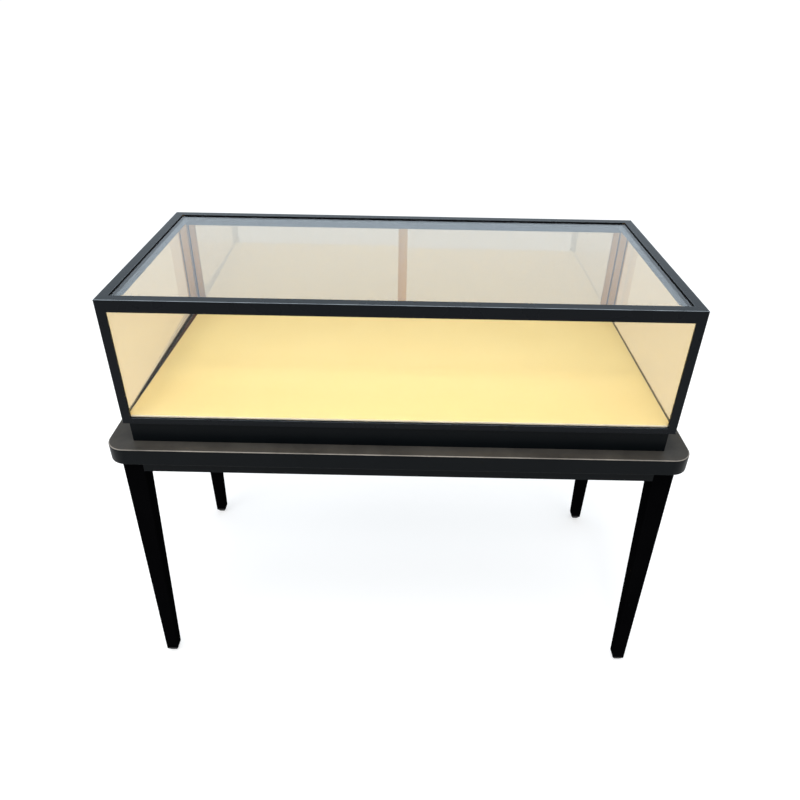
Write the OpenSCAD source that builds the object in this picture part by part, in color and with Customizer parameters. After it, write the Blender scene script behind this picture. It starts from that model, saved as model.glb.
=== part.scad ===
// Jewelry display cabinet: a glass case on a plinth, carried by a table with four tapered legs.
// Millimetres. +X runs along the case, +Y from the customer's side to the rear, +Z up.
// The origin is on the floor, under the middle of the cabinet.

/* [Table] */
// Height of the legs from the floor to the underside of the table top
leg_h = 662; // [550:2:760]
// Thickness of the table top
slab_t = 40; // [28:1:50]
// Reach of the table top past the case at each end
slab_reach_x = 48; // [40:1:90]
// Reach of the table top past the case at the front and rear
slab_reach_y = 25; // [20:1:80]
// Plan radius of the table top's corners
slab_corner_r = 45; // [15:1:60]
// Round-over along the table top's upper edge
slab_edge_r = 3; // [1:0.5:6]
// Height of the apron boards
apron_h = 36; // [34:1:70]
// Thickness of the apron boards
apron_t = 18; // [15:1:22]
// Width of a square leg at its top
leg_top_w = 45; // [38:1:50]
// Width of a square leg just above its foot
leg_foot_w = 29; // [22:1:34]
// Inset of the legs and aprons from the table top's ends
leg_inset_x = 27; // [20:1:45]
// Inset of the legs and aprons from the table top's front and rear
leg_inset_y = 22; // [12:1:40]
// Outward lean of a leg's outer face towards the end, from top to foot
leg_lean_x = 2; // [0:1:10]
// Outward lean of a leg's outer face towards the front or rear
leg_lean_y = 12; // [0:1:12]

/* [Feet] */
// Height of a foot glide
foot_h = 16; // [8:1:24]
// Width of a foot glide where it meets the floor
foot_base_w = 15; // [10:1:20]

/* [Plinth] */
// Height of the plinth between table top and case
plinth_h = 54; // [45:1:100]
// Setback of the plinth from the case's outer faces
plinth_inset = 10; // [6:1:12]
// Thickness of the plinth boards
plinth_t = 18; // [15:1:20]

/* [Case] */
// Length of the glass case
case_l = 1200; // [900:10:1600]
// Depth of the glass case
case_d = 550; // [420:10:700]
// Height of the glass case
case_h = 294; // [220:1:420]

/* [Case frame] */
// Width of a top rail seen from above
rail_w = 22; // [22:1:28]
// Height of a top rail's face
rail_h = 27; // [25:1:34]
// Height of a bottom rail's face
sill_h = 14; // [12:1:16]
// Face width of the front posts
post_w = 20; // [20:1:24]
// Face width of the rear posts
rear_post_w = 28; // [24:1:34]
// Wall thickness of the frame profiles
wall = 2; // [1.5:0.5:2]
// Height of the plate that covers the top of the posts
cap_t = 2; // [1.5:0.5:3]
// Depth of the grooves that hold the fixed panes
groove_d = 8; // [6:1:8]
// Distance from an outer face to a pane groove
groove_in = 3.5; // [2.5:0.5:4]
// Width of the front and rear ledges that carry the top pane
ledge_w = 10; // [8:1:14]
// Width of the ledges at the ends
end_ledge_w = 22; // [8:1:30]

/* [Glass] */
// Thickness of the front, end and door panes
pane_t = 5; // [4:1:5]
// Thickness of the top pane
top_pane_t = 6; // [5:1:8]
// Depth of the top pane below the top of the rails
top_sink = 3; // [2:0.5:4]
// Gap between the top pane's edge and the rails, filled by its gasket
top_gap = 3; // [2:0.5:4]
// Thickness of the rubber gasket beside and under a pane
gasket_t = 1; // [0.5:0.1:1]

/* [Sliding doors] */
// Depth of a door's stiles from face to face
door_t = 10; // [9:0.5:11]
// Face width of a stile
stile_w = 15; // [13:1:20]
// Overlap of the two meeting stiles
door_lap = 6; // [5:1:8]
// Gap between a closed door and its post
door_gap = 3; // [2:0.5:6]
// Height of the bottom shoe of a door
shoe_h = 15; // [13:1:22]
// Height of the track's ribs above its base
track_rib_h = 6.5; // [5:0.5:8]
// Depth of the guide's grooves
guide_d = 12.5; // [11.5:0.5:14]
// Thickness of the track and guide walls
track_t = 1.5; // [1.2:0.1:2]
// Side play of each door in its groove
door_play = 0.3; // [0.2:0.05:0.6]

/* [Lock] */
// Width of the lock case
lock_case_w = 19; // [17:1:24]
// Height of the lock case
lock_case_h = 30; // [22:1:40]
// Thickness of the lock case
lock_case_t = 11; // [10:0.5:14]
// Radius of the lock's push cylinder
plunger_r = 4.5; // [4.5:0.25:5.5]
// Radius of the locking pin
lock_pin_r = 1.5; // [1.2:0.1:1.8]
// Travel of the push cylinder
lock_travel = 4.5; // [3:0.1:4.5]
// Radius of the key plug
plug_r = 3; // [2.5:0.1:3.2]

/* [Display floor] */
// Thickness of the case floor board
deck_t = 9; // [8:0.5:12]
// Thickness of the covered display pad
pad_t = 7; // [5:0.5:12]
// Clearance between the display pad and the panes
pad_play = 0.5; // [0.5:0.1:3]
// Radius of the display pad's front corners
pad_corner_r = 9; // [8:0.5:20]

/* [Lighting] */
// Width of the light channel
led_w = 12; // [10:0.5:16]
// Height of the light channel
led_h = 9; // [8:0.5:9]
// Spacing of the light chips along the strip
chip_pitch = 33; // [20:1:60]
// Length of the light driver
driver_l = 140; // [100:1:180]

/* [Cable outlet] */
// Radius of the bore through the cable grommet
grommet_r = 5; // [3:0.5:7]
// Distance of the cable outlet from the left end of the case
outlet_in = 240; // [220:5:400]

/* [Hidden] */

$fn = 48;
// Overshoot of a cutting shape past the face that it opens
cut = 1;
// Sine of a half right angle
diag = sqrt(0.5);
// Clearance between pieces that move past each other
move_gap = 0.3;
// Radial clearance of a turning or sliding round piece in its bore
run_gap = 0.05;
// Radial clearance of a fixed round piece in its bore
fit_gap = 0.1;

// Levels
slab_z = leg_h;
plinth_z = slab_z + slab_t;
case_z = plinth_z + plinth_h;
case_top = case_z + case_h;
rail_z = case_top - rail_h;

// Table plan
slab_l = case_l + 2 * slab_reach_x;
slab_d = case_d + 2 * slab_reach_y;
leg_x = slab_l / 2 - leg_inset_x;
leg_y = slab_d / 2 - leg_inset_y;
apron_z = slab_z - apron_h;

// Frame plan
half_l = case_l / 2;
half_d = case_d / 2;
groove_w = pane_t + 2 * gasket_t;
lip_t = 1.5;
sill_lip_h = cap_t + deck_t;
sill_w = groove_in + groove_w + lip_t;
flange_over = 2;
flange_w = plinth_inset + plinth_t + flange_over - sill_w;
track_pitch = door_t + 2 * door_play + track_t;
track_w = 2 * track_pitch + track_t;
rear_post_d = wall + track_w + move_gap;
rear_sill_h = 8;
rear_flange = 16;
hollow_gap = 2;

// Top pane seat
seat_drop = top_sink + top_pane_t + gasket_t;
seat_z = case_top - seat_drop;
ledge_t = 2;
rear_box_h = 16;
top_pane_x = half_l - rail_w - top_gap;
top_pane_y = half_d - rail_w - top_gap;
seat_lap = ledge_w - top_gap - cut;

// Doors
track_z = case_z + rear_sill_h;
door_floor = track_z + track_t + move_gap;
glide_t = 1.2;
shoe_z = door_floor + glide_t;
guide_top = case_top - rear_box_h;
guide_z = guide_top - track_t - guide_d;
guide_bite = 5.5;
door_top = guide_z + guide_bite;
door_far = half_l - rear_post_w - door_gap;
door_near = door_lap / 2;
left_line = half_d - wall - track_t - door_play - door_t / 2;
right_line = left_line - track_pitch;
stile_bite = 8;
shoe_bite = 10;
grip_l = 80;
grip_w = 6;
grip_d = 4;
grip_edge = 1;
glide_in = 70;
glide_l = 40;
glide_w = 8;
peg_r = 2;
peg_h = 3;
brush_w = 6;
brush_end = 0.5;

// Lock
lock_z = (track_z + guide_z) / 2;
lock_face = left_line + door_t / 2;
lock_case_lap = 4;
plunger_l = 11.2;
plunger_back = lock_face + lock_case_t + lock_travel + 1;
plunger_front = plunger_back - plunger_l;
pin_tip = left_line - door_t / 2 + move_gap;
plug_l = 7.7;
keeper_d = 4;
key_slot_w = 1;
key_slot_h = 4;
key_slot_d = 4;

// Display floor
deck_z = case_z + cap_t;
pad_z = deck_z + deck_t;
deck_play = 0.5;
floor_x = half_l - sill_w;
floor_front = half_d - sill_w;
floor_rear = half_d - rear_post_d;

// Lighting
led_z = seat_z - ledge_t - led_h;
led_half = half_l - rail_w - 3;
led_wall = 1.2;
led_roof = 1.5;
diffuser_t = 1;
diffuser_in = 0.2;
strip_t = 1;
strip_w = 8;
strip_z = led_z + led_h - led_roof - strip_t;
chip_w = 5;
chip_h = 1.2;
chip_margin = 30;
outlet_x = half_l - outlet_in;
driver_w = 40;
driver_h = 25;
driver_x = -outlet_x - driver_l / 2;
driver_y = half_d - plinth_inset - plinth_t - driver_w - 12;
driver_mid = driver_y + driver_w / 2;
ear_w = 12;
ear_l = 8;
ear_t = 2;
ear_in = 12;

// The light's lead
lead_r = 1.5;
lead_bore = 2;
lead_exit_x = -led_half + 5;
lead_exit_y = -half_d + rail_w + led_w / 2;
lead_exit_z = strip_z - 2;
lead_rail_x = -half_l + 17;
lead_rail_z = case_top - 8.5;
lead_post_y = half_d - 14;
lead_notch_z = case_z - 6;
lead_drop_x = lead_rail_x + 43;
lead_drop_y = half_d - plinth_inset - plinth_t - 7;
lead_floor_z = plinth_z + 7;

// Cable outlet
grommet_neck = 10;
grommet_flange = 2;

// Fasteners
screw_r = 2.2;
screw_head_r = 4.4;
screw_head_h = 2.4;
cross_l = 4.8;
cross_w = 0.8;
cross_d = 1.2;
flange_screw_l = 25;
flange_screw_in = 5;
bolt_r = 4;
bolt_in = 14;
bolt_out = leg_top_w * diag + 20;
nut_r = 7.5;
nut_h = 6.5;
bracket_t = 3;
bracket_reach = 32;
bracket_tab = 26;
bracket_edge = 2;
bracket_screw_in = 9;
// Distance along a leg bolt from the leg's centre to the bracket's inner face
nut_seat = (bracket_reach + apron_t) * diag + bracket_t;
foot_stem_r = 4;
foot_stem_l = 22;
foot_lip = 3;
block_w = 25;
block_h = 42;

// Quadrants of the plan, as signs of x and y
CORNERS = [[-1, -1], [1, -1], [-1, 1], [1, 1]];

// A flat screw head with its shank pointing along -Z from the head's top face
module screw(l) {
    translate([0, 0, -l]) cylinder(r = screw_r, h = l - screw_head_h / 2);
    difference() {
        translate([0, 0, -screw_head_h]) cylinder(r1 = screw_r, r2 = screw_head_r, h = screw_head_h);
        for (a = [0, 90]) rotate([0, 0, a])
            translate([-cross_l / 2, -cross_w / 2, -cross_d]) cube([cross_l, cross_w, cross_d + cut]);
    }
}

// The hole for a screw, countersunk at its head
module screw_hole(l) {
    head = screw_head_r + 2 * fit_gap;
    translate([0, 0, -l - fit_gap]) cylinder(r = screw_r + fit_gap, h = l + fit_gap + cut);
    translate([0, 0, -screw_head_h - fit_gap])
        cylinder(r1 = screw_r + fit_gap, r2 = head, h = screw_head_h + fit_gap);
    cylinder(r = head, h = cut);
}

// A box between two corner points
module block(a, b) {
    translate(a) cube(b - a);
}

// Table top: a board whose plan corners and upper edge are rounded
module slab_edge(w) {
    difference() {
        square([w, slab_t]);
        translate([w - slab_edge_r, slab_t - slab_edge_r]) difference() {
            square([slab_edge_r + cut, slab_edge_r + cut]);
            circle(r = slab_edge_r);
        }
    }
}

module slab_body() {
    r = slab_corner_r;
    x = slab_l / 2 - r;
    y = slab_d / 2 - r;
    block([-x, -y, 0], [x, y, slab_t]);
    for (s = CORNERS) translate([s[0] * x, s[1] * y, 0])
        rotate([0, 0, s[0] > 0 ? (s[1] > 0 ? 0 : 270) : (s[1] > 0 ? 90 : 180)])
            rotate_extrude(angle = 90, $fn = 96) slab_edge(r);
    for (a = [0, 180]) rotate([0, 0, a]) {
        translate([x, y, 0]) rotate([90, 0, 0]) linear_extrude(2 * y) slab_edge(r);
        translate([-x, y, 0]) rotate([90, 0, 90]) linear_extrude(2 * x) slab_edge(r);
    }
}

// Places where a screw holds the plinth down through the table top
PLINTH_SCREWS = [for (s = [-1, 1]) for (k = [-1, 0, 1])
    [k * 0.7 * half_l, s * (half_d - plinth_inset - plinth_t / 2)]];
plinth_screw_l = slab_t + plinth_h / 2;
// Places where a screw holds an apron up against the table top
APRON_SCREWS = concat(
    [for (s = [-1, 1]) for (k = [-1, 1]) [k * leg_x / 2, s * (leg_y - apron_t / 2)]],
    [for (s = [-1, 1]) for (k = [-1, 1]) [s * (leg_x - apron_t / 2), k * leg_y / 3]]);
apron_screw_l = apron_h + slab_t / 2;

// Sets a screw at each place, driven upward from a level
module up_from(places, z) {
    for (p = places) translate([p[0], p[1], z]) rotate([180, 0, 0]) children();
}

module table_top() {
    color([0.09, 0.09, 0.09]) difference() {
        translate([0, 0, slab_z]) slab_body();
        up_from(PLINTH_SCREWS, slab_z) screw_hole(plinth_screw_l);
        up_from(APRON_SCREWS, apron_z) screw_hole(apron_screw_l);
    }
}

// Apron boards fit between the legs, flush with their outer faces
module apron_board(a, b) {
    color([0.07, 0.07, 0.07]) difference() {
        block(a, b);
        up_from(APRON_SCREWS, apron_z) screw_hole(apron_screw_l);
        bracket_screws(true);
    }
}

module apron_long(s) {
    x = leg_x - leg_top_w;
    y0 = s < 0 ? -leg_y : leg_y - apron_t;
    apron_board([-x, y0, apron_z], [x, y0 + apron_t, slab_z]);
}

module apron_short(s) {
    y = leg_y - leg_top_w;
    x0 = s < 0 ? -leg_x : leg_x - apron_t;
    apron_board([x0, -y, apron_z], [x0 + apron_t, y, slab_z]);
}

module apron_front() { apron_long(-1); }
module apron_rear() { apron_long(1); }
module apron_left() { apron_short(-1); }
module apron_right() { apron_short(1); }

// Outline of a leg seen along one axis: out is its outer face at the top, lean how far the foot goes out
module leg_outline(out, lean) {
    polygon([
        [out - leg_top_w, slab_z], [out, slab_z], [out, apron_z],
        [out + lean, foot_h], [out + lean - leg_foot_w, foot_h], [out - leg_top_w, apron_z]]);
}

// Direction from a leg's centre to the inner corner of the table frame
module at_leg_bolt(s) {
    translate([s[0] * (leg_x - leg_top_w / 2), s[1] * (leg_y - leg_top_w / 2), apron_z + apron_h / 2])
        rotate([0, 0, atan2(-s[1], -s[0])]) rotate([0, 90, 0]) children();
}

// A square leg that tapers from the apron down and leans out a little
module leg(s) {
    color([0.06, 0.06, 0.06]) difference() {
        intersection() {
            flip_x(s[0]) rotate([90, 0, 0]) linear_extrude(2 * slab_d, center = true)
                leg_outline(leg_x, leg_lean_x);
            flip_y(s[1]) rotate([90, 0, 90]) linear_extrude(2 * slab_l, center = true)
                leg_outline(leg_y, leg_lean_y);
        }
        at_leg_bolt(s) translate([0, 0, -bolt_in - fit_gap])
            cylinder(r = bolt_r + fit_gap, h = bolt_out + bolt_in);
        at_foot(s) translate([0, 0, foot_h - cut])
            cylinder(r = foot_stem_r + fit_gap, h = foot_stem_l + cut + fit_gap);
    }
}

module flip_x(s) {
    if (s < 0) mirror([1, 0, 0]) children();
    else children();
}

module flip_y(s) {
    if (s < 0) mirror([0, 1, 0]) children();
    else children();
}

module leg_front_left() { leg([-1, -1]); }
module leg_front_right() { leg([1, -1]); }
module leg_rear_left() { leg([-1, 1]); }
module leg_rear_right() { leg([1, 1]); }

module at_foot(s) {
    x = leg_x + leg_lean_x - leg_foot_w / 2;
    y = leg_y + leg_lean_y - leg_foot_w / 2;
    translate([s[0] * x, s[1] * y, 0]) children();
}

// Moulded foot glide: a chamfered block with a stem pressed into the leg's end grain
module foot_side() {
    a = leg_foot_w / 2;
    b = foot_base_w / 2;
    h = foot_h - foot_lip;
    polygon([[-b, 0], [b, 0], [a, h], [a, foot_h], [-a, foot_h], [-a, h]]);
}

module foot_glides() {
    color([0.05, 0.05, 0.05]) for (s = CORNERS) at_foot(s) {
        intersection() {
            rotate([90, 0, 0]) linear_extrude(2 * leg_foot_w, center = true) foot_side();
            rotate([90, 0, 90]) linear_extrude(2 * leg_foot_w, center = true) foot_side();
        }
        translate([0, 0, foot_h]) cylinder(r = foot_stem_r, h = foot_stem_l);
    }
}

// Folded steel bracket across each inner corner of the table frame
module bracket_plan() {
    i = apron_t;
    d = leg_top_w + bracket_reach;
    t = bracket_t;
    k = t / diag;
    polygon([
        [d + bracket_tab, i], [d, i], [i, d], [i, d + bracket_tab],
        [i + t, d + bracket_tab], [i + t, d + k - t], [d + k - t, i + t], [d + bracket_tab, i + t]]);
}

module at_leg_corner(s) {
    translate([s[0] * leg_x, s[1] * leg_y, 0]) flip_x(-s[0]) flip_y(-s[1]) children();
}

module corner_brackets() {
    color([0.72, 0.73, 0.74]) difference() {
        for (s = CORNERS) at_leg_corner(s) translate([0, 0, apron_z + bracket_edge])
            linear_extrude(apron_h - 2 * bracket_edge) bracket_plan();
        for (s = CORNERS) at_leg_bolt(s) cylinder(r = bolt_r + 2 * fit_gap, h = 3 * leg_top_w);
        bracket_screws(true);
    }
}

// Screws through the bracket's tabs into the aprons, or the holes for them
module bracket_screws(hole) {
    d = leg_top_w + bracket_reach + bracket_tab / 2 + bracket_t;
    n = apron_t + bracket_t;
    for (s = CORNERS) at_leg_corner(s) for (z = [apron_z + bracket_screw_in, slab_z - bracket_screw_in]) {
        translate([d, n, z]) rotate([-90, 0, 0]) bracket_screw(hole);
        translate([n, d, z]) rotate([0, 90, 0]) bracket_screw(hole);
    }
}

module bracket_screw(hole) {
    l = bracket_t + apron_t - 5;
    if (hole) screw_hole(l);
    else screw(l);
}

module table_screws() {
    color([0.78, 0.78, 0.76]) {
        bracket_screws(false);
        up_from(APRON_SCREWS, apron_z) screw(apron_screw_l);
    }
}

// Hanger bolts with their nuts pull the legs against the brackets
module leg_bolts() {
    color([0.75, 0.75, 0.73]) for (s = CORNERS) at_leg_bolt(s) {
        translate([0, 0, -bolt_in]) cylinder(r = bolt_r, h = bolt_out + bolt_in);
        translate([0, 0, nut_seat]) difference() {
            cylinder(r = nut_r, h = nut_h, $fn = 6);
            translate([0, 0, -cut]) cylinder(r = bolt_r, h = nut_h + 2 * cut);
        }
    }
}

// Plinth: four boards with glued corner blocks, screwed down from under the table top
module plinth_long(s) {
    x = half_l - plinth_inset;
    y1 = half_d - plinth_inset;
    color([0.08, 0.08, 0.08]) difference() {
        flip_y(s) block([-x, y1 - plinth_t, plinth_z], [x, y1, case_z]);
        up_from(PLINTH_SCREWS, slab_z) screw_hole(plinth_screw_l);
        flange_screws(true);
        if (s > 0) {
            block([lead_rail_x - 2 * lead_bore, 0, lead_notch_z - 2 * lead_bore],
                [lead_drop_x + 2 * lead_bore, lead_post_y + lead_bore, case_z + cut]);
            translate([-outlet_x, 0, plinth_z + plinth_h / 2]) rotate([-90, 0, 0])
                cylinder(r = grommet_neck + fit_gap, h = half_d + cut);
        }
    }
}

module plinth_short(s) {
    x1 = half_l - plinth_inset;
    y = half_d - plinth_inset - plinth_t;
    color([0.08, 0.08, 0.08]) difference() {
        flip_x(s) block([x1 - plinth_t, -y, plinth_z], [x1, y, case_z]);
        flange_screws(true);
    }
}

module plinth_front() { plinth_long(-1); }
module plinth_rear() { plinth_long(1); }
module plinth_left() { plinth_short(-1); }
module plinth_right() { plinth_short(1); }

module plinth_blocks() {
    x = half_l - plinth_inset - plinth_t;
    y = half_d - plinth_inset - plinth_t;
    color([0.72, 0.6, 0.42]) for (s = CORNERS) translate([s[0] * x, s[1] * y, plinth_z])
        flip_x(-s[0]) flip_y(-s[1]) linear_extrude(block_h) polygon([[0, 0], [block_w, 0], [0, block_w]]);
}

// Screws through the frame's bottom flange into the plinth boards, or the holes for them
module flange_screws(hole) {
    x = half_l - plinth_inset - plinth_t + flange_screw_in;
    y = half_d - plinth_inset - plinth_t + flange_screw_in;
    for (k = [-1, 0, 1]) {
        for (s = [-1, 1]) translate([s * x, k * half_d / 2, deck_z]) flange_screw(hole);
        translate([k * half_l / 2, -y, deck_z]) flange_screw(hole);
    }
}

module flange_screw(hole) {
    if (hole) screw_hole(flange_screw_l);
    else screw(flange_screw_l);
}

module case_screws() {
    color([0.78, 0.78, 0.76]) {
        up_from(PLINTH_SCREWS, slab_z) screw(plinth_screw_l);
        flange_screws(false);
    }
}

// Case floor board between the bottom rails, flush with the top of their lips
module deck_board() {
    x = floor_x - deck_play;
    color([0.75, 0.66, 0.5])
        block([-x, -floor_front + deck_play, deck_z], [x, floor_rear - deck_play, deck_z + deck_t]);
}

// Display pad: lies on the floor board and over the lips, and its front corners pass the posts
module display_pad() {
    x = half_l - pane_back - pad_play;
    front = half_d - pane_back - pad_play;
    r = pad_corner_r;
    color([0.96, 0.89, 0.66]) translate([0, 0, pad_z]) difference() {
        block([-x, -front, 0], [x, floor_rear - pad_play, pad_t]);
        for (s = [-1, 1]) flip_x(s) translate([x - r, -front + r, -cut]) rotate([0, 0, -90])
            linear_extrude(pad_t + 2 * cut) difference() {
                square([r + cut, r + cut]);
                circle(r = r);
            }
    }
}

// A frame bar along X whose profile is drawn inward from the outer face, with mitred ends
module bar(l, deep) {
    intersection() {
        translate([-l / 2, 0, 0]) rotate([90, 0, 90]) linear_extrude(l) children();
        translate([0, 0, -case_h]) linear_extrude(2 * case_h)
            polygon([[-l / 2, 0], [l / 2, 0], [l / 2 - deep, deep], [-l / 2 + deep, deep]]);
    }
}

// Sets a bar on one side of the case: front, rear, left or right
module on_side(side, z) {
    if (side == "front") translate([0, -half_d, z]) children();
    if (side == "rear") translate([0, half_d, z]) rotate([0, 0, 180]) children();
    if (side == "left") translate([-half_l, 0, z]) rotate([0, 0, -90]) children();
    if (side == "right") translate([half_l, 0, z]) rotate([0, 0, 90]) children();
}

function side_l(side) = side == "front" || side == "rear" ? case_l : case_d;

// Places a post's plan, drawn from its outer corner inward, at a corner of the case
module at_post(s) {
    translate([s[0] * half_l, s[1] * half_d, case_z + cap_t]) flip_x(-s[0]) flip_y(-s[1])
        linear_extrude(case_h - 2 * cap_t) children();
}

// Front post: a square core in the corner with a flange in front of each pane
module front_post_plan() {
    square([sill_w, sill_w]);
    square([post_w, groove_in]);
    square([groove_in, post_w]);
}

// Rear post as a full block; where it is wider than the rails it ends under the top pane's ledge
module rear_post_block(s) {
    difference() {
        at_post(s) square([rear_post_w, rear_post_d]);
        block([-half_l + rail_w, 0, seat_z - ledge_t], [half_l - rail_w, half_d - rail_w, case_top]);
    }
}

// The room that the rails leave for the posts
module post_space() {
    for (s = [-1, 1]) {
        at_post([s, -1]) front_post_plan();
        rear_post_block([s, 1]);
    }
}

// Bottom rails: a channel for the pane and a flange that is screwed to the plinth
module sill_profile() {
    difference() {
        union() {
            square([sill_w, sill_lip_h]);
            square([groove_in, sill_h]);
        }
        translate([groove_in, sill_h - groove_d]) square([groove_w, groove_d + cut]);
    }
    translate([sill_w - cut, 0]) square([flange_w + cut, cap_t]);
}

module rear_sill_profile() {
    difference() {
        square([rear_post_d, rear_sill_h]);
        translate([wall, cap_t])
            square([rear_post_d - 2 * wall, rear_sill_h - cap_t - hollow_gap]);
    }
    square([wall, sill_h]);
    translate([rear_post_d - cut, 0]) square([rear_flange + cut, cap_t]);
}

module sill(side) {
    color([0.1, 0.1, 0.11]) difference() {
        on_side(side, case_z) bar(side_l(side), rear_post_d + rear_flange + cut)
            if (side == "rear") rear_sill_profile();
            else sill_profile();
        post_space();
        flange_screws(true);
        lead_bores();
    }
}

module sill_front() { sill("front"); }
module sill_rear() { sill("rear"); }
module sill_left() { sill("left"); }
module sill_right() { sill("right"); }

// Front posts are hollow at their core, rear posts are boxes with a groove for the end pane
module front_post(s) {
    color([0.1, 0.1, 0.11]) at_post(s) difference() {
        front_post_plan();
        translate([wall, wall]) square([sill_w - 2 * wall, sill_w - 2 * wall]);
    }
}

module rear_post(s) {
    color([0.66, 0.56, 0.42]) difference() {
        rear_post_block(s);
        at_post(s) {
            translate([groove_in, rear_post_d - groove_d]) square([groove_w, groove_d + cut]);
            translate([wall, wall]) square([rear_post_w - 2 * wall, rear_post_d - groove_d - 2 * wall]);
        }
        lead_bores();
    }
}

module post_front_left() { front_post([-1, -1]); }
module post_front_right() { front_post([1, -1]); }
module post_rear_left() { rear_post([-1, 1]); }
module post_rear_right() { rear_post([1, 1]); }

// Top rails: a hollow bar with a pane groove below and a ledge for the top pane
module ledge_profile(w) {
    translate([rail_w - cut, -seat_drop - ledge_t]) square([w + cut, ledge_t]);
}

module rail_profile(w) {
    difference() {
        translate([0, -rail_h]) square([rail_w, rail_h]);
        translate([groove_in, -rail_h - cut]) square([groove_w, groove_d + cut]);
        translate([wall, -rail_h + groove_d + hollow_gap])
            square([rail_w - 2 * wall, rail_h - groove_d - hollow_gap - cap_t]);
    }
    ledge_profile(w);
}

module rear_rail_profile() {
    difference() {
        translate([0, -rear_box_h]) square([rail_w, rear_box_h]);
        translate([wall, -rear_box_h + hollow_gap])
            square([rail_w - 2 * wall, rear_box_h - hollow_gap - cap_t]);
    }
    translate([0, -rail_h]) square([wall, rail_h]);
    ledge_profile(ledge_w);
}

module top_rail(side) {
    color([0.1, 0.1, 0.11]) difference() {
        on_side(side, case_top) bar(side_l(side), rail_w + end_ledge_w + cut)
            if (side == "rear") rear_rail_profile();
            else rail_profile(side == "front" ? ledge_w : end_ledge_w);
        post_space();
        lead_bores();
    }
}

module top_rail_front() { top_rail("front"); }
module top_rail_rear() { top_rail("rear"); }
module top_rail_left() { top_rail("left"); }
module top_rail_right() { top_rail("right"); }

// Corner points of the fixed panes, which sit in gaskets in the frame's grooves
pane_low = case_z + sill_h - groove_d + gasket_t;
pane_high = rail_z + groove_d - gasket_t;
pane_edge = sill_w + gasket_t;
pane_face = groove_in + gasket_t;
pane_back = pane_face + pane_t;
FRONT_PANE = [[-half_l + pane_edge, -half_d + pane_face, pane_low],
    [half_l - pane_edge, -half_d + pane_back, pane_high]];
END_PANE = [[half_l - pane_back, -half_d + pane_edge, pane_low],
    [half_l - pane_face, half_d - rear_post_d + groove_d - gasket_t, pane_high]];

module glass_front() {
    color([0.8, 0.9, 0.88, 0.3]) block(FRONT_PANE[0], FRONT_PANE[1]);
}

module glass_left() {
    color([0.72, 0.64, 0.5, 0.35]) mirror([1, 0, 0]) block(END_PANE[0], END_PANE[1]);
}

module glass_right() {
    color([0.72, 0.64, 0.5, 0.35]) block(END_PANE[0], END_PANE[1]);
}

module glass_top() {
    color([0.8, 0.9, 0.88, 0.3])
        block([-top_pane_x, -top_pane_y, seat_z + gasket_t], [top_pane_x, top_pane_y, case_top - top_sink]);
}

// Rubber channel round a pane, flush with the groove's edge.
// inset is its lip across the pane's face, along each axis.
gasket_lip = groove_d - gasket_t;
module gasket_ring(pane, inset) {
    g = [gasket_t, gasket_t, gasket_t];
    difference() {
        block(pane[0] - g, pane[1] + g);
        block(pane[0], pane[1]);
        block(pane[0] + inset, pane[1] - inset);
    }
}

// The inner lips are left out where no frame part stands behind the pane
module pane_gaskets() {
    low = case_z + sill_lip_h;
    through = -2 * gasket_t;
    color([0.03, 0.03, 0.03]) {
        difference() {
            gasket_ring(FRONT_PANE, [gasket_lip, through, gasket_lip]);
            block([-half_l, -half_d + pane_back, low], [half_l, 0, rail_z]);
        }
        for (s = [-1, 1]) flip_x(s) difference() {
            gasket_ring(END_PANE, [through, gasket_lip, gasket_lip]);
            block([0, -half_d, low], [half_l - pane_back, half_d - rear_post_d, rail_z]);
        }
    }
}

// Rubber seat round the top pane, beside its edge and under it
module top_gasket() {
    x = half_l - rail_w;
    y = half_d - rail_w;
    px = top_pane_x;
    py = top_pane_y;
    color([0.03, 0.03, 0.03]) difference() {
        block([-x, -y, seat_z], [x, y, case_top - top_sink - gasket_t / 2]);
        block([-px, -py, seat_z + gasket_t], [px, py, case_top]);
        block([-px + seat_lap, -py + seat_lap, seat_z - cut], [px - seat_lap, py - seat_lap, case_top]);
    }
}

// Door track and guide: twin channels, the guide the deeper so that the doors lift out
module twin_channel(depth) {
    square([track_w, track_t]);
    for (k = [0, 1, 2]) translate([k * track_pitch, 0]) square([track_t, track_t + depth]);
}

module door_track() {
    x = half_l - rear_post_w;
    color([0.12, 0.12, 0.13]) translate([x, half_d - wall, track_z]) rotate([0, 0, 180])
        rotate([90, 0, 90]) linear_extrude(2 * x) twin_channel(track_rib_h);
}

module door_guide() {
    x = half_l - rear_post_w;
    color([0.12, 0.12, 0.13]) translate([-x, half_d - wall, guide_top]) rotate([0, 180, 0])
        rotate([0, 0, 180]) rotate([90, 0, 90]) linear_extrude(2 * x) twin_channel(guide_d);
}

// Brush strips on the rear posts close the gap at each door's outer stile
module jamb_brushes() {
    x = half_l - rear_post_w;
    low = track_z + track_t + track_rib_h + brush_end;
    color([0.04, 0.04, 0.04]) for (s = [-1, 1]) {
        y = s < 0 ? left_line : right_line;
        flip_x(s) block([x - door_gap + move_gap, y - brush_w / 2, low],
            [x, y + brush_w / 2, guide_z - brush_end]);
    }
}

// One door, drawn as the left one: its outer edge at -door_far, its meeting edge at +door_near.
// The pane is let into the stiles and the shoe.
module door_pane() {
    block([-door_far + stile_w - stile_bite, -pane_t / 2, shoe_z + shoe_h - shoe_bite],
        [door_near - stile_w + stile_bite, pane_t / 2, door_top]);
}

module door_glass() {
    color([0.72, 0.64, 0.5, 0.35]) door_pane();
}

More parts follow.
